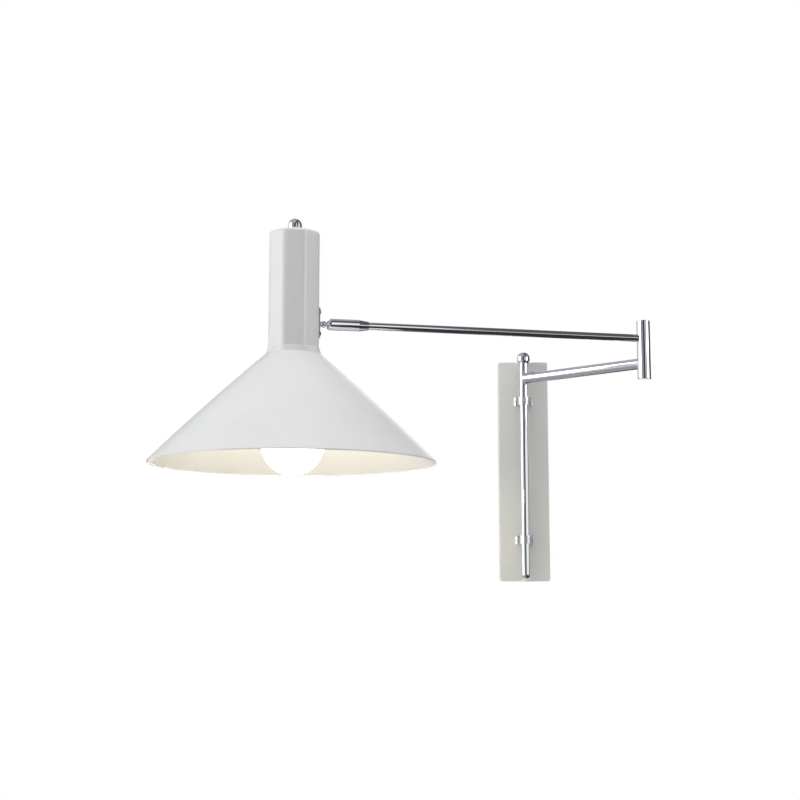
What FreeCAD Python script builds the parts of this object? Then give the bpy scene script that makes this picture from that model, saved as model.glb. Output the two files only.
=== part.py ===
"""Swing arm wall lamp: a wall plate with a turning rod, two jointed arms and a cone shade on a ball joint.

Millimetres. X runs along the wall to the right, Y into the wall, Z up. The origin is the middle of the
wall plate's back, on the wall.
"""
import FreeCAD
import Part
import Sketcher

import math
import os

SIZES = {
    # Clearances
    "running_fit": 0.05,
    "seat_fit": 0.05,
    "hole_play": 0.2,
    # How far a cut runs past the face that it opens
    "cut_margin": 1.0,
    # Wall plate and what holds it
    "plate_width": 55.4,
    "plate_height": 246.0,
    "plate_depth": 14.0,
    "plate_sheet": 1.2,
    "plate_corner": 2.2,
    "plate_edge": 0.8,
    "strap_width": 26.0,
    "strap_height": 190.0,
    "strap_thickness": 2.5,
    "strap_corner": 3.0,
    "wall_hole_spacing": 110.0,
    "wall_hole_radius": 2.6,
    "spacer_radius": 3.4,
    # Rod clips and their screws
    "clip_spacing": 155.2,
    "clip_height": 8.8,
    "clip_wall": 1.3,
    "clip_span": 20.4,
    "ear_thickness": 3.0,
    "ear_chamfer": 1.4,
    "rib_depth": 0.6,
    "rib_height": 2.4,
    "screw_pitch": 15.8,
    "screw_radius": 1.5,
    "screw_head_radius": 1.85,
    "screw_head_height": 1.1,
    "screw_grip": 6.0,
    "slot_width": 0.8,
    "slot_depth": 0.6,
    # Turning rod
    "rod_standoff": 8.5,
    "rod_radius": 4.7,
    "rod_bore": 3.2,
    "rod_top": 120.3,
    "rod_bottom": 113.0,
    "end_barrel": 3.0,
    "end_face_radius": 2.9,
    "bush_radius": 3.5,
    "bush_length": 3.8,
    "bush_bore": 1.7,
    "spigot_length": 8.0,
    # Dome nuts on the rod and on the shade
    "dome_radius": 7.05,
    "dome_foot": 5.9,
    "dome_foot_height": 2.4,
    "dome_band": 3.0,
    # Short arm
    "short_swing": 47.5,
    "short_length": 158.6,
    "short_height": 102.6,
    "short_radius": 5.8,
    "short_wall": 1.2,
    "short_root": 3.0,
    "root_screw_radius": 2.6,
    "root_screw_height": 1.9,
    "root_screw_place": 12.0,
    # Elbow
    "arm_rise": 26.4,
    "elbow_radius": 6.95,
    "elbow_below": 17.2,
    "elbow_above": 18.6,
    "elbow_cavity": 5.4,
    "pivot_radius": 4.0,
    "pivot_bore": 2.2,
    "pivot_seat": 6.0,
    "elbow_washer_height": 0.8,
    "elbow_nut_height": 2.2,
    "elbow_nut_radius": 5.0,
    "plug_height": 2.5,
    "elbow_chamfer": 0.5,
    # Long arm and ball socket
    "long_swing": 13.25,
    "ball_reach": 333.7,
    "long_radius": 3.85,
    "long_wall": 0.9,
    "socket_wall": 1.3,
    "socket_length": 28.2,
    "collar_taper": 10.0,
    "collar_spigot": 5.0,
    "mouth_angle": 61.4,
    "mouth_lean": 20.0,
    "ball_radius": 4.55,
    "seat_back": 10.0,
    "seat_front": 2.0,
    "seat_hole": 1.7,
    "spring_wall": 1.6,
    "lock_screw_radius": 1.2,
    "lock_screw_place": 3.0,
    "lock_screw_lean": 45.0,
    # Ball stud and rosette
    "shade_turn": -10.15,
    "stud_reach": 36.7,
    "stud_thread": 2.5,
    "stud_bore": 1.3,
    "stud_neck": 1.9,
    "stud_hub": 5.0,
    "stud_hub_height": 0.8,
    "stud_bead": 3.4,
    "stud_bead_length": 4.9,
    "rosette_width": 13.6,
    "rosette_height": 31.0,
    "rosette_corner": 6.6,
    "rosette_thickness": 1.3,
    "rosette_edge": 0.7,
    "rosette_lift": 1.5,
    "rosette_screw_pitch": 21.6,
    "rosette_screw_radius": 1.3,
    "rosette_head_radius": 2.3,
    "rosette_head_height": 0.9,
    "rosette_screw_tail": 3.0,
    "stud_washer_radius": 6.0,
    "stud_washer_height": 1.0,
    "stud_nut_radius": 4.6,
    "stud_nut_height": 4.0,
    "stud_end": 1.5,
    # Neck of the shade
    "neck_flats": 50.0,
    "neck_edge": 8.0,
    "neck_wall": 1.0,
    "neck_crown": 4.0,
    "neck_rise": 93.1,
    "neck_drop": 30.8,
    "foot_step": 1.0,
    "flare_height": 6.5,
    # Cone of the shade
    "cone_top": 27.6,
    "cone_height": 108.8,
    "rim_radius": 141.4,
    "cone_bulge": 1.3,
    "rim_lip": 1.2,
    "shade_sheet": 0.8,
    "flange_hole": 20.4,
    # Suspension of the lampholder
    "nipple_radius": 5.0,
    "nipple_bore": 3.4,
    "nipple_grip": 6.0,
    "nipple_end": 2.0,
    "top_washer_radius": 8.6,
    "top_washer_height": 2.2,
    "nipple_nut_radius": 8.0,
    "nipple_nut_height": 4.0,
    # Lampholder
    "holder_radius": 19.4,
    "holder_wall": 2.0,
    "holder_rise": 17.4,
    "holder_drop": 40.4,
    "holder_lid": 2.5,
    "block_height": 6.0,
    "contact_radius": 4.0,
    "contact_height": 2.2,
    "thread_radius": 13.4,
    "thread_wall": 0.6,
    "thread_lip": 1.5,
    "ring_radius": 25.0,
    "ring_height": 9.0,
    # Bulb
    "bulb_radius": 30.8,
    "bulb_length": 108.1,
    "bulb_glass": 1.0,
    "bulb_neck": 14.4,
    "bulb_shoulder": 20.0,
    "cap_length": 27.0,
    "cap_gap": 1.2,
    "cap_play": 0.4,
    "cap_sheet": 0.5,
    # Wires inside the arms
    "lead_radius": 1.0,
}

doc = FreeCAD.newDocument("SwingArmWallLamp")
sheet = doc.addObject("Spreadsheet::Sheet", "Sizes")
for row, (alias, number) in enumerate(SIZES.items(), start=1):
    sheet.set(f"A{row}", alias)
    sheet.set(f"B{row}", str(number))
    sheet.setAlias(f"B{row}", alias)
doc.recompute()

# Every sub-part that is written out, by its label.
nodes = {}


class Dim:
    """A length or angle with its value and the sheet expression that drives it."""

    def __init__(self, value, text):
        self.value = float(value)
        self.text = text

    def __add__(self, other):
        other = as_dim(other)
        return Dim(self.value + other.value, f"({self.text} + {other.text})")

    def __sub__(self, other):
        other = as_dim(other)
        return Dim(self.value - other.value, f"({self.text} - {other.text})")

    def __mul__(self, other):
        other = as_dim(other)
        return Dim(self.value * other.value, f"({self.text} * {other.text})")

    def __truediv__(self, other):
        other = as_dim(other)
        return Dim(self.value / other.value, f"({self.text} / {other.text})")

    def __neg__(self):
        return Dim(-self.value, f"(0 - {self.text})")

    __radd__ = __add__
    __rmul__ = __mul__

    def __rsub__(self, other):
        return as_dim(other) - self


def as_dim(number):
    if isinstance(number, Dim):
        return number
    return Dim(number, f"({float(number):.9f})")


def size(alias):
    return Dim(sheet.get(alias), f"Sizes.{alias}")


def cosine(angle):
    return Dim(math.cos(math.radians(angle.value)), f"cos({angle.text})")


def sine(angle):
    return Dim(math.sin(math.radians(angle.value)), f"sin({angle.text})")


def root(number):
    return Dim(math.sqrt(number.value), f"sqrt({number.text})")


def chord(radius, offset):
    """Distance from the centre of a circle to its chord end, at an offset across."""
    return root(radius * radius - offset * offset)


class Frame:
    """A place to build in: a point and a turn about Z."""

    def __init__(self, x, y, angle):
        self.x = as_dim(x)
        self.y = as_dim(y)
        self.angle = as_dim(angle)

    def along(self, distance):
        return (self.x + distance * cosine(self.angle), self.y + distance * sine(self.angle))

    def hold(self, obj):
        obj.setExpression("Placement.Base.x", self.x.text)
        obj.setExpression("Placement.Base.y", self.y.text)
        obj.setExpression("Placement.Rotation.Angle", self.angle.text)


class Arc:
    """A step of an outline: an arc to a point about a centre."""

    def __init__(self, end, centre, radius, turn):
        self.end = end
        self.centre = centre
        self.radius = as_dim(radius)
        self.turn = turn


def plane_of(body, role):
    for feature in body.Origin.OriginFeatures:
        if feature.Role == role:
            return feature
    raise ValueError(f"no plane {role}")


def new_body(label):
    body = doc.addObject("PartDesign::Body", label)
    body.Label = label
    return body


def new_sketch(body, role, offset=0.0):
    offset = as_dim(offset)
    sketch = body.newObject("Sketcher::SketchObject", f"{body.Name}_outline")
    sketch.AttachmentSupport = [(plane_of(body, role), "")]
    sketch.MapMode = "FlatFace"
    sketch.setExpression("AttachmentOffset.Base.z", offset.text)
    return sketch


def fix_point(sketch, geometry, end, point, kinds=("DistanceX", "DistanceY")):
    """Hold a point of the sketch at its sizes from the sketch's origin."""
    for kind, axis, number in (("DistanceX", -2, as_dim(point[0])), ("DistanceY", -1, as_dim(point[1]))):
        if kind not in kinds:
            continue
        if abs(number.value) < 1e-9:
            sketch.addConstraint(Sketcher.Constraint("PointOnObject", geometry, end, axis))
            continue
        index = sketch.addConstraint(Sketcher.Constraint(kind, -1, 1, geometry, end, number.value))
        sketch.setExpression(f"Constraints[{index}]", number.text)


def vector(point):
    return FreeCAD.Vector(as_dim(point[0]).value, as_dim(point[1]).value, 0)


def draw_loop(sketch, steps):
    """Draw a closed outline. A step is a point, reached by a line, or an Arc."""
    ends = [step.end if isinstance(step, Arc) else step for step in steps]
    joints = []
    for i, step in enumerate(steps):
        start, end = ends[i - 1], ends[i]
        if isinstance(step, Arc):
            a, b = (start, end) if step.turn > 0 else (end, start)
            middle = vector(step.centre)
            angles = [math.atan2(*reversed(tuple(vector(p) - middle)[:2])) for p in (a, b)]
            if angles[1] <= angles[0]:
                angles[1] += 2 * math.pi
            circle = Part.Circle(middle, FreeCAD.Vector(0, 0, 1), step.radius.value)
            geometry = sketch.addGeometry(Part.ArcOfCircle(circle, angles[0], angles[1]))
            joints.append((geometry, 1, 2) if step.turn > 0 else (geometry, 2, 1))
        else:
            geometry = sketch.addGeometry(Part.LineSegment(vector(start), vector(end)))
            joints.append((geometry, 1, 2))
    for i, (geometry, first, last) in enumerate(joints):
        before = joints[i - 1]
        sketch.addConstraint(Sketcher.Constraint("Coincident", before[0], before[2], geometry, first))
        if isinstance(steps[i], Arc):
            out = vector(ends[i]) - vector(steps[i].centre)
            fix_point(sketch, geometry, 3, steps[i].centre)
            kind = "DistanceY" if abs(out.x) > abs(out.y) else "DistanceX"
            fix_point(sketch, geometry, last, ends[i], (kind,))
        else:
            fix_point(sketch, geometry, last, ends[i])


def draw_circle(sketch, centre, radius):
    radius = as_dim(radius)
    circle = Part.Circle(vector(centre), FreeCAD.Vector(0, 0, 1), radius.value)
    geometry = sketch.addGeometry(circle)
    fix_point(sketch, geometry, 3, centre)
    index = sketch.addConstraint(Sketcher.Constraint("Radius", geometry, radius.value))
    sketch.setExpression(f"Constraints[{index}]", radius.text)


def rectangle(half_width, half_height):
    return [(-half_width, -half_height), (half_width, -half_height),
            (half_width, half_height), (-half_width, half_height)]


def rounded_rectangle(half_width, half_height, radius, middle=0.0):
    """A rectangle with rounded corners, its middle at a height."""
    inner_x = half_width - radius
    low, high = middle - half_height, middle + half_height
    inner_low, inner_high = low + radius, high - radius
    return [
        (inner_x, low), Arc((half_width, inner_low), (inner_x, inner_low), radius, 1),
        (half_width, inner_high), Arc((inner_x, high), (inner_x, inner_high), radius, 1),
        (-inner_x, high), Arc((-half_width, inner_high), (-inner_x, inner_high), radius, 1),
        (-half_width, inner_low), Arc((-inner_x, low), (-inner_x, inner_low), radius, 1),
    ]


def rounded_octagon(apothem, radius):
    """An octagon with a flat towards +X and rounded corners."""
    reach = (apothem - radius) / math.cos(math.pi / 8)
    steps = []
    for corner in range(8):
        towards = math.pi / 8 + math.pi / 4 * corner
        before = math.pi / 4 * corner
        after = math.pi / 4 * (corner + 1)
        centre = (reach * math.cos(towards), reach * math.sin(towards))
        start = (centre[0] + radius * math.cos(before), centre[1] + radius * math.sin(before))
        end = (centre[0] + radius * math.cos(after), centre[1] + radius * math.sin(after))
        steps.append(start)
        steps.append(Arc(end, centre, radius, 1))
    return steps


def pad(body, sketch, length):
    length = as_dim(length)
    feature = body.newObject("PartDesign::Pad", f"{body.Name}_pad")
    feature.Profile = sketch
    feature.Length = length.value
    feature.setExpression("Length", length.text)
    return feature


def pocket(body, sketch, length):
    """Cut from the sketch's plane, against its normal. The cut has to take material away."""
    length = as_dim(length)
    doc.recompute()
    before = body.Shape.Volume
    feature = body.newObject("PartDesign::Pocket", f"{body.Name}_pocket")
    feature.Profile = sketch
    feature.Length = length.value
    feature.setExpression("Length", length.text)
    doc.recompute()
    if body.Shape.Volume >= before:
        raise ValueError(f"{body.Label}: a pocket cut nothing")
    return feature


def turn(body, sketch, axis, kind="PartDesign::Revolution"):
    feature = body.newObject(kind, f"{body.Name}_turn")
    feature.Profile = sketch
    feature.ReferenceAxis = (sketch, [axis])
    feature.Angle = 360.0
    return feature


def keep(obj, label, frame=None):
    """Register a sub-part under its label and set it in its frame."""
    obj.Label = label
    if frame is not None:
        frame.hold(obj)
    nodes[label] = obj
    return obj


def turned(label, steps, frame, axis="V_Axis", plane="XZ_Plane"):
    """A piece turned about the vertical (V) or horizontal (H) axis of its sketch."""
    body = new_body(label)
    sketch = new_sketch(body, plane)
    draw_loop(sketch, steps)
    turn(body, sketch, axis)
    return keep(body, label, frame)


def tube_steps(inner, outer, low, high):
    return [(inner, low), (outer, low), (outer, high), (inner, high)]


def lying_tube_steps(inner, outer, low, high):
    return [(low, inner), (high, inner), (high, outer), (low, outer)]


def drill(body, plane, centre, radius, start, length):
    """A round hole from a plane's offset, against the plane's normal."""
    sketch = new_sketch(body, plane, start)
    draw_circle(sketch, centre, radius)
    return pocket(body, sketch, length)


def lying_cylinder(name, radius, start, end, height):
    """A plain cylinder along X at a height."""
    radius, start, end, height = (as_dim(v) for v in (radius, start, end, height))
    length = end - start
    cylinder = doc.addObject("Part::Cylinder", name)
    cylinder.setExpression("Radius", radius.text)
    cylinder.setExpression("Height", length.text)
    cylinder.Placement.Rotation = FreeCAD.Rotation(FreeCAD.Vector(0, 1, 0), 90)
    cylinder.setExpression("Placement.Base.x", start.text)
    cylinder.setExpression("Placement.Base.z", height.text)
    return cylinder


def standing_cylinder(name, radius, low, high, x=0.0):
    radius, low, high, x = (as_dim(v) for v in (radius, low, high, x))
    height = high - low
    cylinder = doc.addObject("Part::Cylinder", name)
    cylinder.setExpression("Radius", radius.text)
    cylinder.setExpression("Height", height.text)
    cylinder.setExpression("Placement.Base.x", x.text)
    cylinder.setExpression("Placement.Base.z", low.text)
    return cylinder


def cut(name, base, tool):
    feature = doc.addObject("Part::Cut", name)
    feature.Base = base
    feature.Tool = tool
    return feature


def fuse(name, *shapes):
    feature = doc.addObject("Part::MultiFuse", name)
    feature.Shapes = list(shapes)
    return feature


# Heights and frames that several pieces share.
fit = size("running_fit")
seat = size("seat_fit")
play = size("hole_play")
margin = size("cut_margin")
plate_face = size("plate_depth")
rod_y = plate_face + size("rod_standoff")
short_z = size("short_height")
long_z = short_z + size("arm_rise")
split_z = short_z + size("arm_rise") / 2
elbow_low = short_z - size("elbow_below")
elbow_high = long_z + size("elbow_above")
neck_top = long_z + size("neck_rise")
joint_z = long_z - size("neck_drop")
rim_z = joint_z - size("cone_height")

wall = Frame(0, 0, 0)
rod_fixed = Frame(0, -rod_y, 0)
short = Frame(0, -rod_y, size("short_swing") - 90)
elbow = short.along(size("short_length"))
elbow_short = Frame(elbow[0], elbow[1], short.angle)
long = Frame(elbow[0], elbow[1], size("long_swing") + 180)
ball = long.along(size("ball_reach"))
stud_angle = size("long_swing") + size("shade_turn")
shade = Frame(ball[0] - size("stud_reach") * cosine(stud_angle),
              ball[1] - size("stud_reach") * sine(stud_angle), stud_angle)


def wall_base():
    """The plate, a shallow tray, over a strap that the wall screws hold."""
    half_width, half_height = size("plate_width") / 2, size("plate_height") / 2
    sheet_metal = size("plate_sheet")
    corner = size("plate_corner")
    pitch, spacing = size("screw_pitch") / 2, size("clip_spacing") / 2
    hole = size("screw_radius") + play
    body = new_body("wall_plate")
    sketch = new_sketch(body, "XZ_Plane")
    draw_loop(sketch, rounded_rectangle(half_width, half_height, corner))
    block = pad(body, sketch, plate_face)
    doc.recompute()
    front = [f"Edge{i}" for i, edge in enumerate(block.Shape.Edges, start=1)
             if all(abs(v.Y + plate_face.value) < 1e-6 for v in edge.Vertexes)]
    rounding = body.newObject("PartDesign::Fillet", "plate_rounding")
    rounding.Base = (block, front)
    rounding.setExpression("Radius", f"min({size('plate_edge').text}; {(sheet_metal * 0.8).text})")
    hollow = new_sketch(body, "XZ_Plane", plate_face - sheet_metal)
    draw_loop(hollow, rounded_rectangle(half_width - sheet_metal, half_height - sheet_metal,
                                        corner - sheet_metal))
    pocket(body, hollow, plate_face)
    holes = new_sketch(body, "XZ_Plane", plate_face + margin)
    for x in (-pitch, pitch):
        for z in (-spacing, spacing):
            draw_circle(holes, (x, z), hole)
    pocket(body, holes, sheet_metal + margin * 2)
    keep(body, "wall_plate", wall)

    strap = new_body("mounting_strap")
    sketch = new_sketch(strap, "XZ_Plane")
    draw_loop(sketch, rounded_rectangle(size("strap_width") / 2, size("strap_height") / 2,
                                        size("strap_corner")))
    for z in (-size("wall_hole_spacing") / 2, size("wall_hole_spacing") / 2):
        draw_circle(sketch, (0, z), size("wall_hole_radius"))
    pad(strap, sketch, size("strap_thickness"))
    keep(strap, "mounting_strap", wall)

    spacer_back, spacer_front = -size("strap_thickness"), sheet_metal - plate_face
    spacer = tube_steps(size("screw_radius") + seat, size("spacer_radius"), spacer_front, spacer_back)
    fastener_group("strap_spacers", spacer)

    ear_front = -plate_face - size("ear_thickness")
    head_top = ear_front - size("screw_head_height")
    tip = sheet_metal - plate_face + size("screw_grip")
    head = size("screw_head_radius")
    screw = [(0, head_top), (head * 0.7, head_top), (head, ear_front - size("screw_head_height") / 2),
             (head, ear_front), (size("screw_radius"), ear_front), (size("screw_radius"), tip), (0, tip)]
    fastener_group("clip_screws", screw, -head_top)


def fastener_group(label, steps, slot_face=None):
    """Four alike pieces along Y, one at each ear of the two clips, slotted in a face where one is given."""
    body = new_body(label)
    sketch = new_sketch(body, "XY_Plane")
    draw_loop(sketch, steps)
    features = [turn(body, sketch, "V_Axis")]
    doc.recompute()
    if slot_face is not None:
        slot = new_sketch(body, "XZ_Plane", slot_face)
        draw_loop(slot, rectangle(size("screw_head_radius") * 1.1, size("slot_width") / 2))
        features.append(pocket(body, slot, size("slot_depth")))
    spread = body.newObject("PartDesign::MultiTransform", f"{label}_spread")
    spread.Originals = features
    rows = []
    for axis, span in (("X_Axis", size("screw_pitch")), ("Z_Axis", size("clip_spacing"))):
        pattern = body.newObject("PartDesign::LinearPattern", f"{label}_{axis}")
        pattern.Direction = (plane_of(body, axis), [""])
        pattern.setExpression("Length", span.text)
        pattern.Occurrences = 2
        rows.append(pattern)
    spread.Transformations = rows
    body.Tip = spread
    keep(body, label)
    body.setExpression("Placement.Base.x", (-size("screw_pitch") / 2).text)
    body.setExpression("Placement.Base.z", (-size("clip_spacing") / 2).text)


def rod_clip(label, height):
    """A saddle clip: a block with the rod's bore and an ear with a screw hole at each side."""
    outer = size("rod_radius") + fit + size("clip_wall")
    bore = size("rod_radius") + fit
    back = size("rod_standoff")
    ear = back - size("ear_thickness")
    span = size("clip_span") / 2
    chamfer = size("ear_chamfer")
    low = height - size("clip_height") / 2
    body = new_body(label)
    sketch = new_sketch(body, "XY_Plane", low)
    draw_loop(sketch, [
        (-span, back), (span, back), (span, ear + chamfer), (span - chamfer, ear), (outer, ear),
        (outer, 0), Arc((-outer, 0), (0, 0), outer, -1), (-outer, ear),
        (chamfer - span, ear), (-span, ear + chamfer)])
    draw_circle(sketch, (0, 0), bore)
    pad(body, sketch, size("clip_height"))
    rib_low, rib_high = height - size("rib_height") / 2, height + size("rib_height") / 2
    rib = new_sketch(body, "XZ_Plane")
    draw_loop(rib, tube_steps(bore - size("rib_depth"), bore + size("clip_wall") / 2, rib_low, rib_high))
    turn(body, rib, "V_Axis")
    holes = new_sketch(body, "XZ_Plane", margin - ear)
    for x in (-size("screw_pitch") / 2, size("screw_pitch") / 2):
        draw_circle(holes, (x, height), size("screw_radius") + play)
    pocket(body, holes, size("ear_thickness") + margin * 2)
    keep(body, label, rod_fixed)


def dome_steps(base, bore, depth):
    """A dome nut standing on a height, with a blind bore from below."""
    radius = size("dome_radius")
    foot = base + size("dome_foot_height")
    spring = foot + size("dome_band")
    return [(bore, base), (size("dome_foot"), base), (radius, foot), (radius, spring),
            Arc((0, spring + radius), (0, spring), radius, 1), (0, base + depth), (bore, base + depth)]


def turning_rod():
    """The rod in its clips, with the short arm and the lower half of the elbow."""
    radius, bore = size("rod_radius"), size("rod_bore")
    low, high = -size("rod_bottom"), size("rod_top")
    groove = radius - size("rib_depth")
    half = size("rib_height") / 2 + fit
    clip = size("clip_spacing") / 2
    rod = turned("pivot_rod", [
        (bore, low), (radius, low), (radius, -clip - half), (groove, -clip - half), (groove, half - clip),
        (radius, half - clip), (radius, clip - half), (groove, clip - half), (groove, clip + half),
        (radius, clip + half), (radius, high), (bore, high)], short)
    drill(rod, "YZ_Plane", (0, short_z), size("lead_radius") * 2, radius + margin, radius + margin)

    nut = dome_steps(high, bore - seat, size("dome_foot_height"))
    spigot_end = high - size("spigot_length")
    steps = nut[1:5] + [(0, spigot_end), (bore - seat, spigot_end), (bore - seat, high)]
    turned("rod_dome_nut", steps, short)

    barrel = low - size("end_barrel")
    face_radius = size("end_face_radius")
    face = barrel - chord(radius, face_radius)
    hole = size("bush_bore") + (bore - size("bush_bore")) / 2
    spigot_top = low + size("spigot_length")
    turned("rod_end_cap", [
        (hole, face), (face_radius, face), Arc((radius, barrel), (0, barrel), radius, 1), (radius, low),
        (bore - seat, low), (bore - seat, spigot_top), (hole, spigot_top)], short)
    turned("cord_bush", [
        (size("bush_bore"), face - size("bush_length")), (size("bush_radius"), face - size("bush_length")),
        (size("bush_radius"), face), (hole - seat, face), (hole - seat, spigot_top),
        (size("bush_bore"), spigot_top)], short)

    length = size("short_length")
    outer = lying_cylinder("short_arm_skin", size("short_radius"), size("short_root"), length, short_z)
    inner = lying_cylinder("short_arm_bore", size("short_radius") - size("short_wall"),
                           size("short_root") - margin, length + margin, short_z)
    reach = size("short_radius") * 2
    rod_round = standing_cylinder("short_arm_rod_cope", radius, short_z - reach, short_z + reach)
    elbow_round = standing_cylinder("short_arm_elbow_cope", size("elbow_radius"), short_z - reach,
                                    short_z + reach, length)
    screw_hole = standing_cylinder("short_arm_screw_hole", size("root_screw_radius") / 2 + seat, short_z,
                                   short_z + reach, size("root_screw_place"))
    tools = fuse("short_arm_cuts", inner, rod_round, elbow_round, screw_hole)
    keep(cut("short_arm", outer, tools), "short_arm", short)

    seat_z = short_z + size("short_radius")
    head = size("root_screw_radius")
    dome = size("root_screw_height")
    shank_end = seat_z - size("short_wall")
    crown = (head * head + dome * dome) / (dome * 2)
    screw = turned("arm_root_screw", [
        (0, shank_end), (head / 2, shank_end), (head / 2, seat_z), (head, seat_z),
        Arc((0, seat_z + dome), (0, seat_z + dome - crown), crown, 1)], short)
    root_x, root_y = short.along(size("root_screw_place"))
    screw.setExpression("Placement.Base.x", root_x.text)
    screw.setExpression("Placement.Base.y", root_y.text)

    pivot_low = split_z - size("pivot_seat")
    elbow_outer, cavity, pivot = size("elbow_radius"), size("elbow_cavity"), size("pivot_radius")
    bevel = size("elbow_chamfer")
    lower = turned("elbow_lower", [
        (cavity, elbow_low), (elbow_outer - bevel, elbow_low), (elbow_outer, elbow_low + bevel),
        (elbow_outer, split_z), (pivot + seat, split_z), (pivot + seat, pivot_low), (cavity, pivot_low)],
        elbow_short)
    lead_hole = size("lead_radius") * 2
    drill(lower, "YZ_Plane", (0, short_z), lead_hole, 0, elbow_outer + margin)
    shoulder = split_z + size("pivot_seat")
    nut_low = shoulder + size("elbow_washer_height")
    nut_high = nut_low + size("elbow_nut_height")
    turned("elbow_pivot", tube_steps(size("pivot_bore"), pivot, pivot_low, nut_high), elbow_short)
    turned("elbow_nut", tube_steps(pivot + seat, size("elbow_nut_radius"), nut_low, nut_high), elbow_short)
    turned("elbow_bottom_plug", [
        (0, elbow_low), (cavity - seat, elbow_low), (cavity - seat, elbow_low + size("plug_height")),
        (0, elbow_low + size("plug_height"))], elbow_short)

    lead = size("lead_radius")
    up = standing_cylinder("short_lead_in_rod", lead, low - size("end_barrel"), short_z + lead)
    across = lying_cylinder("short_lead_in_arm", lead, 0, length, short_z)
    rise = standing_cylinder("short_lead_in_elbow", lead, short_z - lead, split_z, length)
    keep(fuse("short_arm_lead", up, across, rise), "short_arm_lead", short)


def long_arm():
    """The upper half of the elbow, the long arm and the socket at its end."""
    cavity, outer, pivot = size("elbow_cavity"), size("elbow_radius"), size("pivot_radius")
    bevel = size("elbow_chamfer")
    shoulder = split_z + size("pivot_seat")
    upper = turned("elbow_upper", [
        (pivot + fit, split_z), (outer, split_z), (outer, elbow_high - bevel), (outer - bevel, elbow_high),
        (cavity, elbow_high), (cavity, shoulder), (pivot + fit, shoulder)], long)
    lead = size("lead_radius")
    drill(upper, "YZ_Plane", (0, long_z), lead * 2, outer + margin, outer + margin)
    turned("elbow_washer", tube_steps(pivot + play * 1.5, size("elbow_nut_radius"), shoulder,
                                      shoulder + size("elbow_washer_height")), long)
    turned("elbow_top_plug", [
        (0, elbow_high - size("plug_height")), (cavity - seat, elbow_high - size("plug_height")),
        (cavity - seat, elbow_high), (0, elbow_high)], long)

    reach = size("ball_reach")
    sleeve_end = reach - size("socket_length")
    taper_end = sleeve_end - size("collar_taper")
    radius = size("long_radius")
    skin = lying_cylinder("long_arm_skin", radius, 0, sleeve_end, long_z)
    hollow = lying_cylinder("long_arm_bore", radius - size("long_wall"), -margin, sleeve_end + margin, long_z)
    cope = standing_cylinder("long_arm_cope", outer, long_z - outer, long_z + outer)
    keep(cut("long_arm", skin, fuse("long_arm_cuts", hollow, cope)), "long_arm", long)

    bore = size("ball_radius") + fit
    outside = bore + size("socket_wall")
    spigot = sleeve_end + size("collar_spigot")
    hold = Frame(long.x, long.y, long.angle)
    collar = turned("arm_collar", [
        (taper_end, radius + seat), (taper_end, radius + seat + size("long_wall") / 2),
        (sleeve_end, outside), (sleeve_end, bore - seat), (spigot, bore - seat),
        (spigot, radius - size("long_wall")), (sleeve_end, radius - size("long_wall")),
        (sleeve_end, radius + seat)], hold, "H_Axis")
    lift(collar, long_z)

    socket = turned("ball_socket", [
        (sleeve_end, bore), (reach, bore), Arc((reach + bore, 0), (reach, 0), bore, -1), (reach + outside, 0),
        Arc((reach, outside), (reach, 0), outside, 1), (sleeve_end, outside)], hold, "H_Axis")
    lift(socket, long_z)
    opening = mouth_cut(reach, bore * cosine(size("mouth_angle")), outside + margin)

    screw = size("lock_screw_radius")
    place = sleeve_end + size("lock_screw_place")
    hole = lying_cylinder("lock_screw_hole", screw + seat, 0, outside + margin, 0)
    aim(hole, place, size("lock_screw_lean"))
    plain_socket = nodes.pop("ball_socket")
    plain_socket.Label = "ball_socket_sleeve"
    lay_flat(plain_socket)
    keep(cut("ball_socket", plain_socket, fuse("ball_socket_cuts", hole, opening)), "ball_socket", long)
    lift(nodes["ball_socket"], long_z)
    pin = lying_cylinder("lock_screw_pin", screw, bore, outside, 0)
    aim(pin, place, size("lock_screw_lean"), bore)
    shell = lying_cylinder("lock_screw_round", outside, sleeve_end, reach, 0)
    screw_piece = doc.addObject("Part::Common", "socket_lock_screw")
    screw_piece.Base = pin
    screw_piece.Tool = shell
    keep(screw_piece, "socket_lock_screw", long)
    lift(screw_piece, long_z)

    seat_back = reach - size("seat_back")
    spring = turned("seat_spring", lying_tube_steps(bore - play - size("spring_wall"), bore - play, spigot,
                                                    seat_back), hold, "H_Axis")
    lift(spring, long_z)

    drop = standing_cylinder("long_lead_in_elbow", lead, split_z, long_z + lead)
    across = lying_cylinder("long_lead_in_arm", lead, 0, reach - size("ball_radius") - seat - play, long_z)
    keep(fuse("long_arm_lead", drop, across), "long_arm_lead", long)

    cup = bore
    front = reach - size("seat_front")
    hole_depth = reach - chord(cup, size("seat_hole"))
    rim = chord(cup, size("seat_front"))
    ball_seat = turned("ball_seat", [
        (seat_back, size("seat_hole")), (hole_depth, size("seat_hole")),
        Arc((front, rim), (reach, 0), cup, -1), (front, bore - fit), (seat_back, bore - fit)], hold, "H_Axis")
    lift(ball_seat, long_z)


def mouth_cut(centre, depth, reach):
    """What a ball socket's open end leaves out: all that lies beyond a depth along an axis that leans up."""
    lean = size("mouth_lean")
    cylinder = doc.addObject("Part::Cylinder", "ball_socket_mouth")
    cylinder.setExpression("Radius", reach.text)
    cylinder.setExpression("Height", reach.text)
    cylinder.Placement.Rotation = FreeCAD.Rotation(FreeCAD.Vector(0, 1, 0), 90 - lean.value)
    cylinder.setExpression("Placement.Rotation.Angle", (90 - lean).text)
    cylinder.setExpression("Placement.Base.x", (centre + depth * cosine(lean)).text)
    cylinder.setExpression("Placement.Base.z", (depth * sine(lean)).text)
    return cylinder


def lift(obj, height):
    obj.setExpression("Placement.Base.z", as_dim(height).text)


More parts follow.
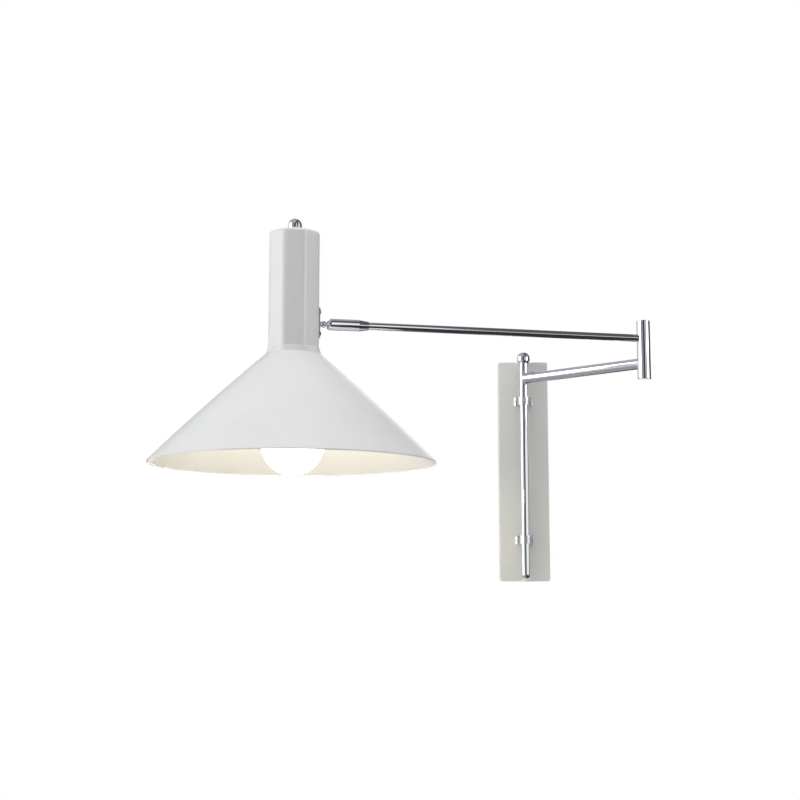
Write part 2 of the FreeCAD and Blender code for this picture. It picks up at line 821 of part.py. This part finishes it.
def lay_flat(obj):
    """Take a piece out of its frame, so that a cut made with it is set there instead."""
    for path in ("Placement.Base.x", "Placement.Base.y", "Placement.Base.z", "Placement.Rotation.Angle"):
        obj.setExpression(path, None)
    obj.Placement = FreeCAD.Placement()


def aim(cylinder, place, lean, start=0.0):
    """Stand a cylinder on the X axis, leaning from up towards +Y by an angle."""
    start = as_dim(start)
    cylinder.setExpression("Placement.Base.x", place.text)
    cylinder.setExpression("Placement.Base.y", (start * sine(lean)).text)
    cylinder.setExpression("Placement.Base.z", (start * cosine(lean)).text)
    cylinder.Placement.Rotation = FreeCAD.Rotation(FreeCAD.Vector(1, 0, 0), -lean.value)


def shade_mount():
    """The ball stud, its rosette on a flat of the neck, and the nut inside."""
    flat = size("neck_flats") / 2
    inside = flat - size("neck_wall")
    reach, ball_radius = size("stud_reach"), size("ball_radius")
    rosette_face = flat + size("rosette_thickness")
    hub_end = rosette_face + size("stud_hub_height")
    bead_end = hub_end + size("stud_bead_length")
    bead, neck, bore, thread = size("stud_bead"), size("stud_neck"), size("stud_bore"), size("stud_thread")
    washer_low = inside - size("stud_washer_height")
    nut_low = washer_low - size("stud_nut_height")
    thread_end = nut_low - size("stud_end")
    half_bead = size("stud_bead_length") / 2
    sag = bead - neck
    bulge = (half_bead * half_bead + sag * sag) / (sag * 2)
    stud = turned("ball_stud", [
        (thread_end, bore), (reach + chord(ball_radius, bore), bore),
        Arc((reach - chord(ball_radius, neck), neck), (reach, 0), ball_radius, 1), (bead_end, neck),
        Arc((hub_end, neck), (hub_end + half_bead, bead - bulge), bulge, 1), (rosette_face, size("stud_hub")),
        (rosette_face, thread), (thread_end, thread)], shade, "H_Axis")
    rosette = new_body("rosette")
    oblong = new_sketch(rosette, "YZ_Plane", flat)
    raised = size("rosette_lift")
    draw_loop(oblong, rounded_rectangle(size("rosette_width") / 2, size("rosette_height") / 2,
                                        size("rosette_corner"), raised))
    draw_circle(oblong, (0, 0), thread + seat)
    half_pitch = size("rosette_screw_pitch") / 2
    for place in (raised - half_pitch, raised + half_pitch):
        draw_circle(oblong, (0, place), size("rosette_screw_radius") + play)
    disc = pad(rosette, oblong, size("rosette_thickness"))
    doc.recompute()
    outside = [f"Edge{i}" for i, item in enumerate(disc.Shape.Edges, start=1)
               if all(abs(v.X - rosette_face.value) < 1e-6 and abs(v.Y) + abs(v.Z) > size("stud_hub").value
                      for v in item.Vertexes)]
    rounding = rosette.newObject("PartDesign::Fillet", "rosette_rounding")
    rounding.Base = (disc, outside)
    rounding.setExpression("Radius", size("rosette_edge").text)
    keep(rosette, "rosette", shade)
    washer = turned("stud_washer", lying_tube_steps(thread + seat, size("stud_washer_radius"), washer_low,
                                                    inside), shade, "H_Axis")
    nut = new_body("stud_nut")
    outline = new_sketch(nut, "YZ_Plane", nut_low)
    draw_loop(outline, hexagon(size("stud_nut_radius")))
    draw_circle(outline, (0, 0), thread + seat)
    pad(nut, outline, size("stud_nut_height"))
    keep(nut, "stud_nut", shade)
    for piece in (stud, rosette, washer, nut):
        lift(piece, long_z)
    rosette_screws(rosette_face, inside - size("rosette_screw_tail"), raised)


def rosette_screws(face, tip, middle):
    """Two domed screws through the rosette and the neck's wall, above and below the stud."""
    head, rise, shank = size("rosette_head_radius"), size("rosette_head_height"), size("rosette_screw_radius")
    crown = (head * head + rise * rise) / (rise * 2)
    body = new_body("rosette_screws")
    sketch = new_sketch(body, "XZ_Plane")
    draw_loop(sketch, [
        (tip, 0), (face + rise, 0), Arc((face, head), (face + rise - crown, 0), crown, 1), (face, shank),
        (tip, shank)])
    screw = turn(body, sketch, "H_Axis")
    doc.recompute()
    pair = body.newObject("PartDesign::LinearPattern", "rosette_screw_pair")
    pair.Originals = [screw]
    pair.Direction = (plane_of(body, "Z_Axis"), [""])
    pair.setExpression("Length", size("rosette_screw_pitch").text)
    pair.Occurrences = 2
    body.Tip = pair
    keep(body, "rosette_screws", shade)
    lift(body, long_z + middle - size("rosette_screw_pitch") / 2)


def hexagon(radius):
    corners = [math.radians(60 * k) for k in range(6)]
    return [(radius * math.cos(angle), radius * math.sin(angle)) for angle in corners]


def round_rim(body, feature, name, height, radius):
    """Rounds the edges of a feature that lie at one height."""
    rim = [f"Edge{i}" for i, item in enumerate(feature.Shape.Edges, start=1)
           if all(abs(v.Z - height.value) < 1e-6 for v in item.Vertexes)]
    rounding = body.newObject("PartDesign::Fillet", name)
    rounding.Base = (feature, rim)
    rounding.setExpression("Radius", radius.text)
    doc.recompute()
    return rounding


def shade_shell():
    """The eight-sided neck and the cone under it."""
    flat, edge, metal = size("neck_flats") / 2, size("neck_edge"), size("neck_wall")
    foot_round = size("cone_top") - size("foot_step")
    foot_flat = foot_round + size("foot_step") * math.cos(math.pi / 8)
    body = new_body("neck_housing")
    foot = new_sketch(body, "XY_Plane", joint_z)
    draw_loop(foot, rounded_octagon(foot_flat, foot_round))
    shaft = new_sketch(body, "XY_Plane", joint_z + size("flare_height"))
    draw_loop(shaft, rounded_octagon(flat, edge))
    flare = body.newObject("PartDesign::AdditiveLoft", "neck_flare")
    flare.Profile = foot
    flare.Sections = [shaft]
    flare.Ruled = True
    doc.recompute()
    tall = new_sketch(body, "XY_Plane", joint_z + size("flare_height"))
    draw_loop(tall, rounded_octagon(flat, edge))
    pad(body, tall, neck_top - joint_z - size("flare_height"))
    roof = neck_top - metal
    hollow = new_sketch(body, "XY_Plane", roof)
    draw_loop(hollow, rounded_octagon(flat - metal, edge - metal / 2))
    room = pocket(body, hollow, roof - joint_z + margin)
    vault = round_rim(body, room, "neck_vault", roof, size("neck_crown") - metal)
    round_rim(body, vault, "neck_crown", neck_top, size("neck_crown"))
    drill(body, "XY_Plane", (0, 0), size("nipple_radius") + play, neck_top + margin, metal + margin * 2)
    drill(body, "YZ_Plane", (0, long_z), size("stud_thread") + play, flat + margin, metal + margin * 2)
    half_pitch = size("rosette_screw_pitch") / 2
    for place in (size("rosette_lift") - half_pitch, size("rosette_lift") + half_pitch):
        drill(body, "YZ_Plane", (0, long_z + place), size("rosette_screw_radius") + play, flat + margin,
              metal + margin * 2)
    keep(body, "neck_housing", shade)

    rim, top, sheet_metal = size("rim_radius"), size("cone_top"), size("shade_sheet")
    fall, spread, bulge = size("cone_height") - size("rim_lip"), rim - top, size("cone_bulge")
    lip_z = rim_z + size("rim_lip")
    slant = root(fall * fall + spread * spread)
    curve = (slant * slant / 4 + bulge * bulge) / (bulge * 2)
    centre = ((rim + top) / 2 - (curve - bulge) * fall / slant,
              (lip_z + joint_z) / 2 - (curve - bulge) * spread / slant)
    within = curve - sheet_metal
    under = joint_z - sheet_metal
    inner_lip = (rim - sheet_metal, centre[1] + chord(within, rim - sheet_metal - centre[0]))
    inner_top = (centre[0] + chord(within, under - centre[1]), under)
    turned("cone_shade", [
        Arc(inner_lip, centre, within, -1), (rim - sheet_metal, rim_z), (rim, rim_z), (rim, lip_z),
        Arc((top, joint_z), centre, curve, 1), (size("flange_hole"), joint_z), (size("flange_hole"), under),
        inner_top], shade)


def suspension():
    """The dome nut, the threaded tube under it and its lock nut."""
    radius = size("nipple_radius")
    base = neck_top + size("top_washer_height")
    nipple_top = base + size("nipple_grip")
    holder_top = joint_z + size("holder_rise")
    lid_under = holder_top - size("holder_lid")
    turned("shade_dome_nut", dome_steps(base, radius + seat, size("nipple_grip")), shade)
    turned("top_washer", tube_steps(radius + seat, size("top_washer_radius"), neck_top, base), shade)
    nipple_low = lid_under - size("nipple_end")
    nipple = turned("nipple", tube_steps(size("nipple_bore"), radius, nipple_low, nipple_top), shade)
    drill(nipple, "YZ_Plane", (0, long_z), size("lead_radius") + play, radius + margin, radius + margin)
    nut_high = neck_top - size("neck_wall")
    nut = new_body("nipple_nut")
    outline = new_sketch(nut, "XY_Plane", nut_high - size("nipple_nut_height"))
    draw_loop(outline, hexagon(size("nipple_nut_radius")))
    draw_circle(outline, (0, 0), radius + seat)
    pad(nut, outline, size("nipple_nut_height"))
    keep(nut, "nipple_nut", shade)


def lampholder():
    """The lampholder in two halves, its ring under the cone's flange, and the live parts inside."""
    outer, metal = size("holder_radius"), size("holder_wall")
    inner = outer - metal
    holder_top = joint_z + size("holder_rise")
    mouth = joint_z - size("holder_drop")
    tip = mouth + size("cap_gap") + size("cap_length")
    block_low = tip + size("contact_height")
    block_high = block_low + size("block_height")
    lid_under = holder_top - size("holder_lid")
    entry = size("nipple_radius") + seat
    turned("lampholder_cap", [
        (inner, block_high), (outer, block_high), (outer, holder_top - metal), (outer - metal, holder_top),
        (entry, holder_top), (entry, lid_under), (inner, lid_under)], shade)
    turned("lampholder_body", tube_steps(inner, outer, mouth, block_high), shade)
    ring_high = joint_z - size("shade_sheet")
    ring_low = ring_high - size("ring_height")
    turned("shade_ring", tube_steps(outer + seat, size("ring_radius"), ring_low, ring_high), shade)
    turned("contact_block", [
        (0, block_low), (inner - seat, block_low), (inner - seat, block_high), (0, block_high)], shade)
    turned("centre_contact", [(0, tip), (size("contact_radius"), tip), (size("contact_radius"), block_low),
                              (0, block_low)], shade)
    thread = size("thread_radius")
    lip_low = mouth + size("thread_lip")
    turned("thread_shell", tube_steps(thread, thread + size("thread_wall"), lip_low, block_low), shade)

    cap_radius = thread - size("cap_play")
    cap_low = tip - size("cap_length")
    step = size("cap_length") / 9
    shoulder = tip - step
    turned("bulb_cap", [
        (cap_radius - size("cap_sheet"), cap_low), (cap_radius, cap_low), (cap_radius, shoulder - step),
        (size("contact_radius"), shoulder), (size("contact_radius"), tip), (0, tip), (0, shoulder),
        (size("contact_radius") - size("cap_sheet"), shoulder - size("cap_sheet")),
        (cap_radius - size("cap_sheet"), shoulder - step)], shade)

    radius, glass, neck = size("bulb_radius"), size("bulb_glass"), size("bulb_neck")
    bottom = tip - size("bulb_length")
    centre = bottom + radius
    turn_in = size("bulb_shoulder")
    within = radius - glass
    lip = cap_radius - size("cap_sheet") - seat
    collar = cap_low + step
    turned("bulb_globe", [
        (0, bottom), Arc((radius * cosine(turn_in), centre + radius * sine(turn_in)), (0, centre), radius, 1),
        (neck, cap_low - glass), (neck, cap_low), (lip, cap_low), (lip, collar), (lip - glass, collar),
        (lip - glass, cap_low - glass), (within * cosine(turn_in), centre + within * sine(turn_in)),
        Arc((0, bottom + glass), (0, centre), within, -1)], shade)

    lead = size("lead_radius")
    reach = size("stud_reach")
    across = lying_cylinder("shade_lead_in_stud", lead, 0, reach, long_z)
    drop = standing_cylinder("shade_lead_in_nipple", lead, block_high, long_z + lead)
    keep(fuse("shade_lead", across, drop), "shade_lead", shade)


wall_base()
rod_clip("clip_upper", size("clip_spacing") / 2)
rod_clip("clip_lower", -size("clip_spacing") / 2)
turning_rod()
long_arm()
shade_mount()
shade_shell()
suspension()
lampholder()
doc.recompute()

faults = [f"{obj.Name}: {obj.State}" for obj in doc.Objects if {"Invalid", "Error"} & set(obj.State)]
faults += [f"{label}: bad shape" for label, obj in nodes.items()
           if obj.Shape.isNull() or not obj.Shape.isValid()]
faults += [f"{label}: no solid" for label, obj in nodes.items() if not obj.Shape.Solids]
if faults:
    raise RuntimeError("; ".join(faults))

os.makedirs("parts", exist_ok=True)
for label, obj in nodes.items():
    obj.Shape.exportStep(os.path.join("parts", f"{label}.step"))
print(len(nodes), "sub-parts")
print("rod axis", 0.0, -rod_y.value)
print("elbow axis", elbow[0].value, elbow[1].value)
print("ball centre", ball[0].value, ball[1].value, long_z.value)
print("shade axis", shade.x.value, shade.y.value)
print("rim", rim_z.value, "joint", joint_z.value, "neck top", neck_top.value)
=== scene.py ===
import math

import bpy
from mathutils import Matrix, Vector


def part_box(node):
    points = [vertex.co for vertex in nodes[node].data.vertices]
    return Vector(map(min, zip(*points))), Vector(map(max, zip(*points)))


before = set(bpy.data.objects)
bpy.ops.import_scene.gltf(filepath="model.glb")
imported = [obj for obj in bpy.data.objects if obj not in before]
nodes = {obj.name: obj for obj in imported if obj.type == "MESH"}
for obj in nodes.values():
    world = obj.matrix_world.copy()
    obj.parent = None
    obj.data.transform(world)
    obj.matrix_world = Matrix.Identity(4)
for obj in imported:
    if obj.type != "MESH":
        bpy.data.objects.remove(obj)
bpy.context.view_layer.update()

scene = bpy.context.scene
scene.view_settings.view_transform = "Standard"

# The colours of what shows most.
WHITE = (0.80, 0.80, 0.79)
PLATE = (0.87, 0.87, 0.83)
CHROME = (0.83, 0.835, 0.85)

# The bulb is lit: its glow fades between two heights above its lower end, in metres.
GLASS = (0.95, 0.93, 0.88)
GLOW = (1.0, 0.85, 0.58)
GLOW_STRENGTH = 17.0
FADE_START, FADE_END = 0.02, 0.05

# The room, in metres: the lights and the cards stand round the middle of the lamp.
MIDDLE = (-0.12, -0.12, 0.08)
FLOOR_HEIGHT = -1.2
FLOOR_WIDTH = 30
FLOOR_COLOUR = (0.88, 0.88, 0.87, 1)
SKY_COLOUR = (0.98, 0.99, 1.0, 1)
SKY_STRENGTH = 0.38
PURE_WHITE = (1, 1, 1, 1)
CARD_TINT = (0.94, 0.97, 1.08)

# The camera stands where the photograph was taken from: its place in metres, its pitch in degrees upwards,
# and its focal length in pixels of a picture of the given width.
EYE = (-0.1389, -1.5830, -0.1393)
PITCH = 7.95
FOCAL_PIXELS = 1404.8
PICTURE_PIXELS = 800
SENSOR = 36.0
VIEW_END = 50


def new_material(name):
    """A new material, its node tree and its shader."""
    material = bpy.data.materials.new(name)
    material.use_nodes = True
    tree = material.node_tree
    return material, tree, tree.nodes["Principled BSDF"]


def add(tree, kind, inputs=None, **settings):
    """A new node with its settings, and with its inputs linked to sockets or set to values."""
    node = tree.nodes.new(kind)
    for key, value in settings.items():
        setattr(node, key, value)
    for key, value in (inputs or {}).items():
        if isinstance(value, bpy.types.NodeSocket):
            tree.links.new(value, node.inputs[key])
        else:
            node.inputs[key].default_value = value
    return node


def noise(tree, scale, detail, stretch=(1, 1, 1), roughness=0.5):
    """Noise on the part's own coordinates, in metres, so a scale of 1000 has grains of about 1 mm."""
    place = add(tree, "ShaderNodeTexCoord")
    mapping = add(tree, "ShaderNodeMapping", {"Vector": place.outputs["Object"], "Scale": stretch})
    texture = add(tree, "ShaderNodeTexNoise", {
        "Vector": mapping.outputs["Vector"], "Scale": scale, "Detail": detail, "Roughness": roughness})
    return texture.outputs["Fac"]


def spread(tree, value, low, high, start=0.3, end=0.7):
    """A value that runs from low to high while another runs from start to end."""
    node = add(tree, "ShaderNodeMapRange", {
        "Value": value, "From Min": start, "From Max": end, "To Min": low, "To Max": high})
    return node.outputs["Result"]


def tones(tree, value, dark, light, start=0.3, end=0.7):
    """A colour that runs from dark to light while a value runs from start to end."""
    ramp = add(tree, "ShaderNodeValToRGB", {"Fac": value})
    first, last = ramp.color_ramp.elements
    first.position, last.position = start, end
    first.color, last.color = (*dark, 1), (*light, 1)
    return ramp.outputs["Color"]


def shade_of(colour, factor):
    return tuple(min(1.0, channel * factor) for channel in colour)


def link(tree, socket, shader, name):
    tree.links.new(socket, shader.inputs[name])


def bumped(tree, shader, height, strength, distance=0.0001):
    bump = add(tree, "ShaderNodeBump", {"Height": height, "Strength": strength, "Distance": distance})
    link(tree, bump.outputs["Normal"], shader, "Normal")


def set_values(shader, **values):
    """Sets sockets of the shader that are the same all over, with _ for a space in their names."""
    for name, value in values.items():
        shader.inputs[name.replace("_", " ")].default_value = value


def enamel(name, colour, roughness, variation=0.02, cloud=18, patch=90, ripple=900):
    """Sprayed paint: even colour with faint clouds, and the fine ripple of a sprayed coat."""
    material, tree, shader = new_material(name)
    dark, light = shade_of(colour, 1 - variation), shade_of(colour, 1 + variation)
    link(tree, tones(tree, noise(tree, cloud, 2), dark, light), shader, "Base Color")
    link(tree, spread(tree, noise(tree, patch, 3), roughness - 0.03, roughness + 0.04), shader, "Roughness")
    bumped(tree, shader, noise(tree, ripple, 2), strength=0.06, distance=0.0002)
    set_values(shader, Specular_IOR_Level=0.45, Coat_Weight=0.35, Coat_Roughness=0.12)
    return material


def plating(name, colour, roughness, stretch=(1, 1, 1), strength=0.02, grain=400, ripple=1000):
    """Polished plating: bright metal with faint polishing haze in its gloss."""
    material, tree, shader = new_material(name)
    haze = noise(tree, grain, 4, stretch)
    link(tree, tones(tree, haze, shade_of(colour, 0.97), shade_of(colour, 1.02)), shader, "Base Color")
    link(tree, spread(tree, haze, roughness * 0.6, roughness * 1.6), shader, "Roughness")
    bumped(tree, shader, noise(tree, ripple, 2, stretch), strength)
    set_values(shader, Metallic=1.0)
    return material


def brushed(name, colour, roughness, stretch, contrast=0.12, grain=300):
    """Drawn or turned metal with grain along one way."""
    material, tree, shader = new_material(name)
    grains = noise(tree, grain, 6, stretch, roughness=0.65)
    dark, light = shade_of(colour, 1 - contrast), shade_of(colour, 1 + contrast)
    link(tree, tones(tree, grains, dark, light), shader, "Base Color")
    link(tree, spread(tree, grains, roughness - 0.08, roughness + 0.1), shader, "Roughness")
    bumped(tree, shader, grains, strength=0.15)
    set_values(shader, Metallic=1.0)
    return material


def moulded(name, colour, roughness, grain=1500, strength=0.12, variation=0.03, cloud=60, patch=220):
    """Moulded plastic, rubber or porcelain with a fine grain."""
    material, tree, shader = new_material(name)
    dark, light = shade_of(colour, 1 - variation), shade_of(colour, 1 + variation)
    link(tree, tones(tree, noise(tree, cloud, 3), dark, light), shader, "Base Color")
    link(tree, spread(tree, noise(tree, patch, 3), roughness - 0.05, roughness + 0.06), shader, "Roughness")
    bumped(tree, shader, noise(tree, grain, 3), strength)
    return material


def lit_glass(name, colour, glow, strength, fade, dim=0.1, cloud=35, patch=120):
    """Opal glass that glows evenly round its end, and less and less between two heights towards its cap."""
    material, tree, shader = new_material(name)
    milk = noise(tree, cloud, 2)
    link(tree, tones(tree, milk, shade_of(colour, 0.98), colour), shader, "Base Color")
    place = add(tree, "ShaderNodeTexCoord")
    height = add(tree, "ShaderNodeSeparateXYZ", {"Vector": place.outputs["Object"]}).outputs["Z"]
    level = spread(tree, height, 1.0, dim, *fade)
    even = tones(tree, milk, shade_of(glow, 0.98), glow)
    lit = add(tree, "ShaderNodeVectorMath", {0: even, "Scale": level}, operation="SCALE")
    link(tree, lit.outputs["Vector"], shader, "Emission Color")
    link(tree, spread(tree, noise(tree, patch, 2), 0.14, 0.22), shader, "Roughness")
    set_values(shader, Emission_Strength=strength, Coat_Weight=0.3, Coat_Roughness=0.08)
    return material


def wear(material, *names):
    """Gives a material to the nodes of these names."""
    for name in names:
        nodes[name].data.materials.clear()
        nodes[name].data.materials.append(material)


# Paint and polished metal, which show.
wear(enamel("shade_enamel", WHITE, roughness=0.38), "neck_housing", "cone_shade")
wear(enamel("plate_enamel", PLATE, roughness=0.42, variation=0.03), "wall_plate")
wear(plating("tube_chrome", CHROME, roughness=0.05, stretch=(1, 1, 6)), "pivot_rod")
wear(plating("arm_chrome", CHROME, roughness=0.07, strength=0.002), "short_arm", "long_arm")
# Painted highlight: a copy of the chrome lightened by 1.15, so the ball stud looks brightly lit.
wear(plating("painted_highlight_stud_chrome", shade_of(CHROME, 1.15), roughness=0.1), "ball_stud")
# Painted shade: a copy of the chrome darkened to 0.55, so the edge-on rosette and its screws look shaded.
wear(plating("painted_shade_chrome", shade_of(CHROME, 0.55), roughness=0.2), "rosette", "rosette_screws")
wear(plating("turned_chrome", CHROME, roughness=0.05, stretch=(1, 1, 20)),
     "rod_dome_nut", "rod_end_cap", "elbow_lower", "elbow_upper", "elbow_bottom_plug", "elbow_top_plug",
     "arm_collar", "ball_socket", "shade_dome_nut", "top_washer")
# Painted highlight: a copy of the chrome lightened by 1.12, so the clips' ears look bright white.
wear(plating("clip_chrome", shade_of(CHROME, 1.12), roughness=0.34), "clip_upper", "clip_lower")
wear(brushed("bright_screw", (0.90, 0.90, 0.91), roughness=0.5, stretch=(1, 1, 30), contrast=0.05),
     "clip_screws", "arm_root_screw", "socket_lock_screw")

# Plain metal, plastic and porcelain, mostly inside.
wear(brushed("zinc", (0.55, 0.56, 0.58), roughness=0.38, stretch=(2, 1, 12)),
     "mounting_strap", "strap_spacers", "stud_nut", "stud_washer", "nipple_nut")
wear(brushed("turned_brass", (0.72, 0.55, 0.26), roughness=0.28, stretch=(1, 1, 40)),
     "elbow_pivot", "elbow_nut", "nipple", "thread_shell", "centre_contact")
wear(brushed("spring_steel", (0.42, 0.42, 0.44), roughness=0.3, stretch=(1, 1, 20)), "seat_spring")
wear(brushed("rolled_aluminium", (0.70, 0.70, 0.71), roughness=0.32, stretch=(1, 1, 30)), "bulb_cap")
wear(moulded("slip_plastic", (0.82, 0.81, 0.76), roughness=0.45), "elbow_washer", "ball_seat")
wear(moulded("white_bush", (0.84, 0.84, 0.82), roughness=0.42), "cord_bush")
wear(moulded("holder_plastic", (0.80, 0.79, 0.75), roughness=0.36),
     "lampholder_cap", "lampholder_body", "shade_ring")
wear(moulded("porcelain", (0.84, 0.82, 0.77), roughness=0.3, grain=700, strength=0.08), "contact_block")
wear(moulded("lead_sleeve", (0.78, 0.78, 0.76), roughness=0.5, grain=2500, strength=0.2),
     "short_arm_lead", "long_arm_lead", "shade_lead")

# The lit bulb.
bulb_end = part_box("bulb_globe")[0][2]
wear(lit_glass("opal_glass", GLASS, GLOW, GLOW_STRENGTH, (bulb_end + FADE_START, bulb_end + FADE_END)),
     "bulb_globe")


def plane(name, centre, size, turn, material):
    """A flat sheet of the room, which isn't part of the lamp."""
    mesh = bpy.data.meshes.new(name)
    across, along = size[0] / 2, size[1] / 2
    corners = [(-across, -along, 0), (across, -along, 0), (across, along, 0), (-across, along, 0)]
    mesh.from_pydata(corners, [], [(0, 1, 2, 3)])
    mesh.materials.append(material)
    obj = bpy.data.objects.new(name, mesh)
    obj.location = centre
    obj.rotation_euler = turn
    scene.collection.objects.link(obj)
    return obj


def seen_rays(tree):
    """One for rays from the camera and for those that metal or glass sends on."""
    path = add(tree, "ShaderNodeLightPath").outputs
    seen = path["Is Camera Ray"]
    for ray in ("Is Glossy Ray", "Is Transmission Ray"):
        seen = add(tree, "ShaderNodeMath", {0: seen, 1: path[ray]}, operation="MAXIMUM").outputs[0]
    return seen


def floor_material(near=0.8, far=2.6, least=0.15):
    """Pale floor that keeps the shadow under the lamp and runs out into white between two distances."""
    material, tree, shader = new_material("pale_floor")
    set_values(shader, Base_Color=FLOOR_COLOUR, Roughness=0.8, Specular_IOR_Level=0.1)
    place = add(tree, "ShaderNodeTexCoord")
    away = add(tree, "ShaderNodeVectorMath", {0: place.outputs["Object"]}, operation="LENGTH")
    share = spread(tree, away.outputs["Value"], least, 1.0, near, far)
    seen = add(tree, "ShaderNodeMath", {0: share, 1: seen_rays(tree)}, operation="MULTIPLY")
    bright = add(tree, "ShaderNodeEmission", {"Color": PURE_WHITE, "Strength": 1.0})
    mix = add(tree, "ShaderNodeMixShader", {0: seen.outputs[0], 1: shader.outputs[0], 2: bright.outputs[0]})
    tree.links.new(mix.outputs[0], tree.nodes["Material Output"].inputs["Surface"])
    return material


def card_material(name, stops):
    """A card whose brightness runs across it, as given by (place, brightness) pairs."""
    material, tree, _ = new_material(name)
    place = add(tree, "ShaderNodeTexCoord")
    across = add(tree, "ShaderNodeSeparateXYZ", {"Vector": place.outputs["Generated"]}).outputs["X"]
    ramp = add(tree, "ShaderNodeValToRGB", {"Fac": across})
    marks = ramp.color_ramp.elements
    while len(marks) < len(stops):
        marks.new(0.5)
    for mark, (at, level) in zip(marks, stops):
        mark.position = at
        mark.color = (*(level * tint for tint in CARD_TINT), 1)
    glow = add(tree, "ShaderNodeEmission", {"Color": ramp.outputs["Color"], "Strength": 1.0})
    tree.links.new(glow.outputs[0], tree.nodes["Material Output"].inputs["Surface"])
    return material


def card(name, centre, size, turn, stops):
    """A card that only mirrored rays see."""
    sheet = plane(name, centre, size, turn, card_material(name, stops))
    for ray in ("visible_camera", "visible_diffuse", "visible_shadow", "visible_transmission"):
        setattr(sheet, ray, False)


def upright_card(name, azimuths, heights, stops, reach=3.0):
    """A card between two azimuths from the viewer's side and two heights, some way from the lamp."""
    low, high = (math.radians(angle) for angle in azimuths)
    bearing = (low + high) / 2
    width = 2 * reach * math.tan((high - low) / 2)
    across, depth = reach * math.sin(bearing), reach * math.cos(bearing)
    centre = (MIDDLE[0] + across, MIDDLE[1] - depth, sum(heights) / 2)
    card(name, centre, (width, heights[1] - heights[0]), (math.radians(90), 0, bearing), stops)


def level_card(name, height, width, stops):
    """A flat card above or below the lamp."""
    card(name, (MIDDLE[0], MIDDLE[1], height), (width, width), (0, 0, 0), stops)


def soft_box(name, place, size, watts):
    """A lamp with a wide face, turned to the middle of the part."""
    light = bpy.data.lights.new(name, "AREA")
    light.shape = "RECTANGLE"
    light.size, light.size_y = size
    light.energy = watts
    obj = bpy.data.objects.new(name, light)
    obj.location = place
    obj.rotation_euler = (Vector(MIDDLE) - Vector(place)).to_track_quat("-Z", "Y").to_euler()
    scene.collection.objects.link(obj)
    return obj


# The room: a pale floor, and a world that is white where it is seen and lights the part more faintly.
plane("floor", (0, 0, FLOOR_HEIGHT), (FLOOR_WIDTH, FLOOR_WIDTH), (0, 0, 0), floor_material())
world = bpy.data.worlds.new("studio")
scene.world = world
world.use_nodes = True
sky = world.node_tree
sky.nodes.clear()
ambient = add(sky, "ShaderNodeBackground", {"Color": SKY_COLOUR, "Strength": SKY_STRENGTH})
white = add(sky, "ShaderNodeBackground", {"Color": PURE_WHITE, "Strength": 1.0})
pick = add(sky, "ShaderNodeMixShader", {0: seen_rays(sky), 1: ambient.outputs[0], 2: white.outputs[0]})
add(sky, "ShaderNodeOutputWorld", {"Surface": pick.outputs[0]})

# The lamps. The one above shows in no mirror, where the cards take its place.
soft_box("left_box", (-2.6, -0.9, 0.7), (1.8, 2.2), 32)
top_box = soft_box("top_box", (0.5, -0.3, 2.6), (2.2, 2.2), 52)
top_box.visible_glossy = False
soft_box("right_box", (2.3, -0.4, 1.8), (1.4, 2.2), 4)

# The dark and bright cards round the lamp that give the polished metal its bands.
upright_card("viewer_card", (-56, 20), (-0.7, 3.0), [
    (0.0, 0.7), (0.1, 0.38), (0.46, 0.34), (0.64, 0.15), (0.74, 0.02), (0.94, 0.02), (1.0, 0.9)])
upright_card("low_right_card", (22, 75), (-0.74, -0.1), [(0.0, 0.03), (0.6, 0.05), (1.0, 0.25)])
upright_card("high_right_card", (29, 80), (0.8, 4.0), [(0.0, 0.5), (0.08, 0.12), (0.8, 0.14), (1.0, 0.5)])
upright_card("mid_right_card", (29, 41), (0.4, 0.85), [(0.0, 0.4), (0.15, 0.13), (0.85, 0.13), (1.0, 0.5)])
upright_card("bright_right_card", (52, 76), (0.4, 0.95), [(0.0, 5.2), (1.0, 5.2)], reach=2.7)
upright_card("rear_right_card", (84, 165), (-0.7, 3.0), [
    (0.0, 0.8), (0.14, 0.1), (0.6, 0.04), (0.9, 0.06), (1.0, 0.4)])
upright_card("rear_left_card", (-176, -128), (-0.7, 3.0), [(0.0, 0.2), (0.5, 0.3), (1.0, 0.9)])
level_card("over_card", 2.5, 7.0, [(0.0, 0.5), (0.55, 0.42), (0.585, 0.12), (1.0, 0.06)])
level_card("under_card", -0.74, 6.0, [(0.0, 0.42), (0.48, 0.36), (0.54, 0.04), (1.0, 0.03)])

# The camera.
camera = bpy.data.cameras.new("camera")
camera.sensor_width = SENSOR
camera.sensor_fit = "HORIZONTAL"
camera.lens = SENSOR * FOCAL_PIXELS / PICTURE_PIXELS
camera.clip_end = VIEW_END
eye = bpy.data.objects.new("camera", camera)
eye.location = EYE
eye.rotation_euler = (math.radians(90 + PITCH), 0, 0)
scene.collection.objects.link(eye)
scene.camera = eye
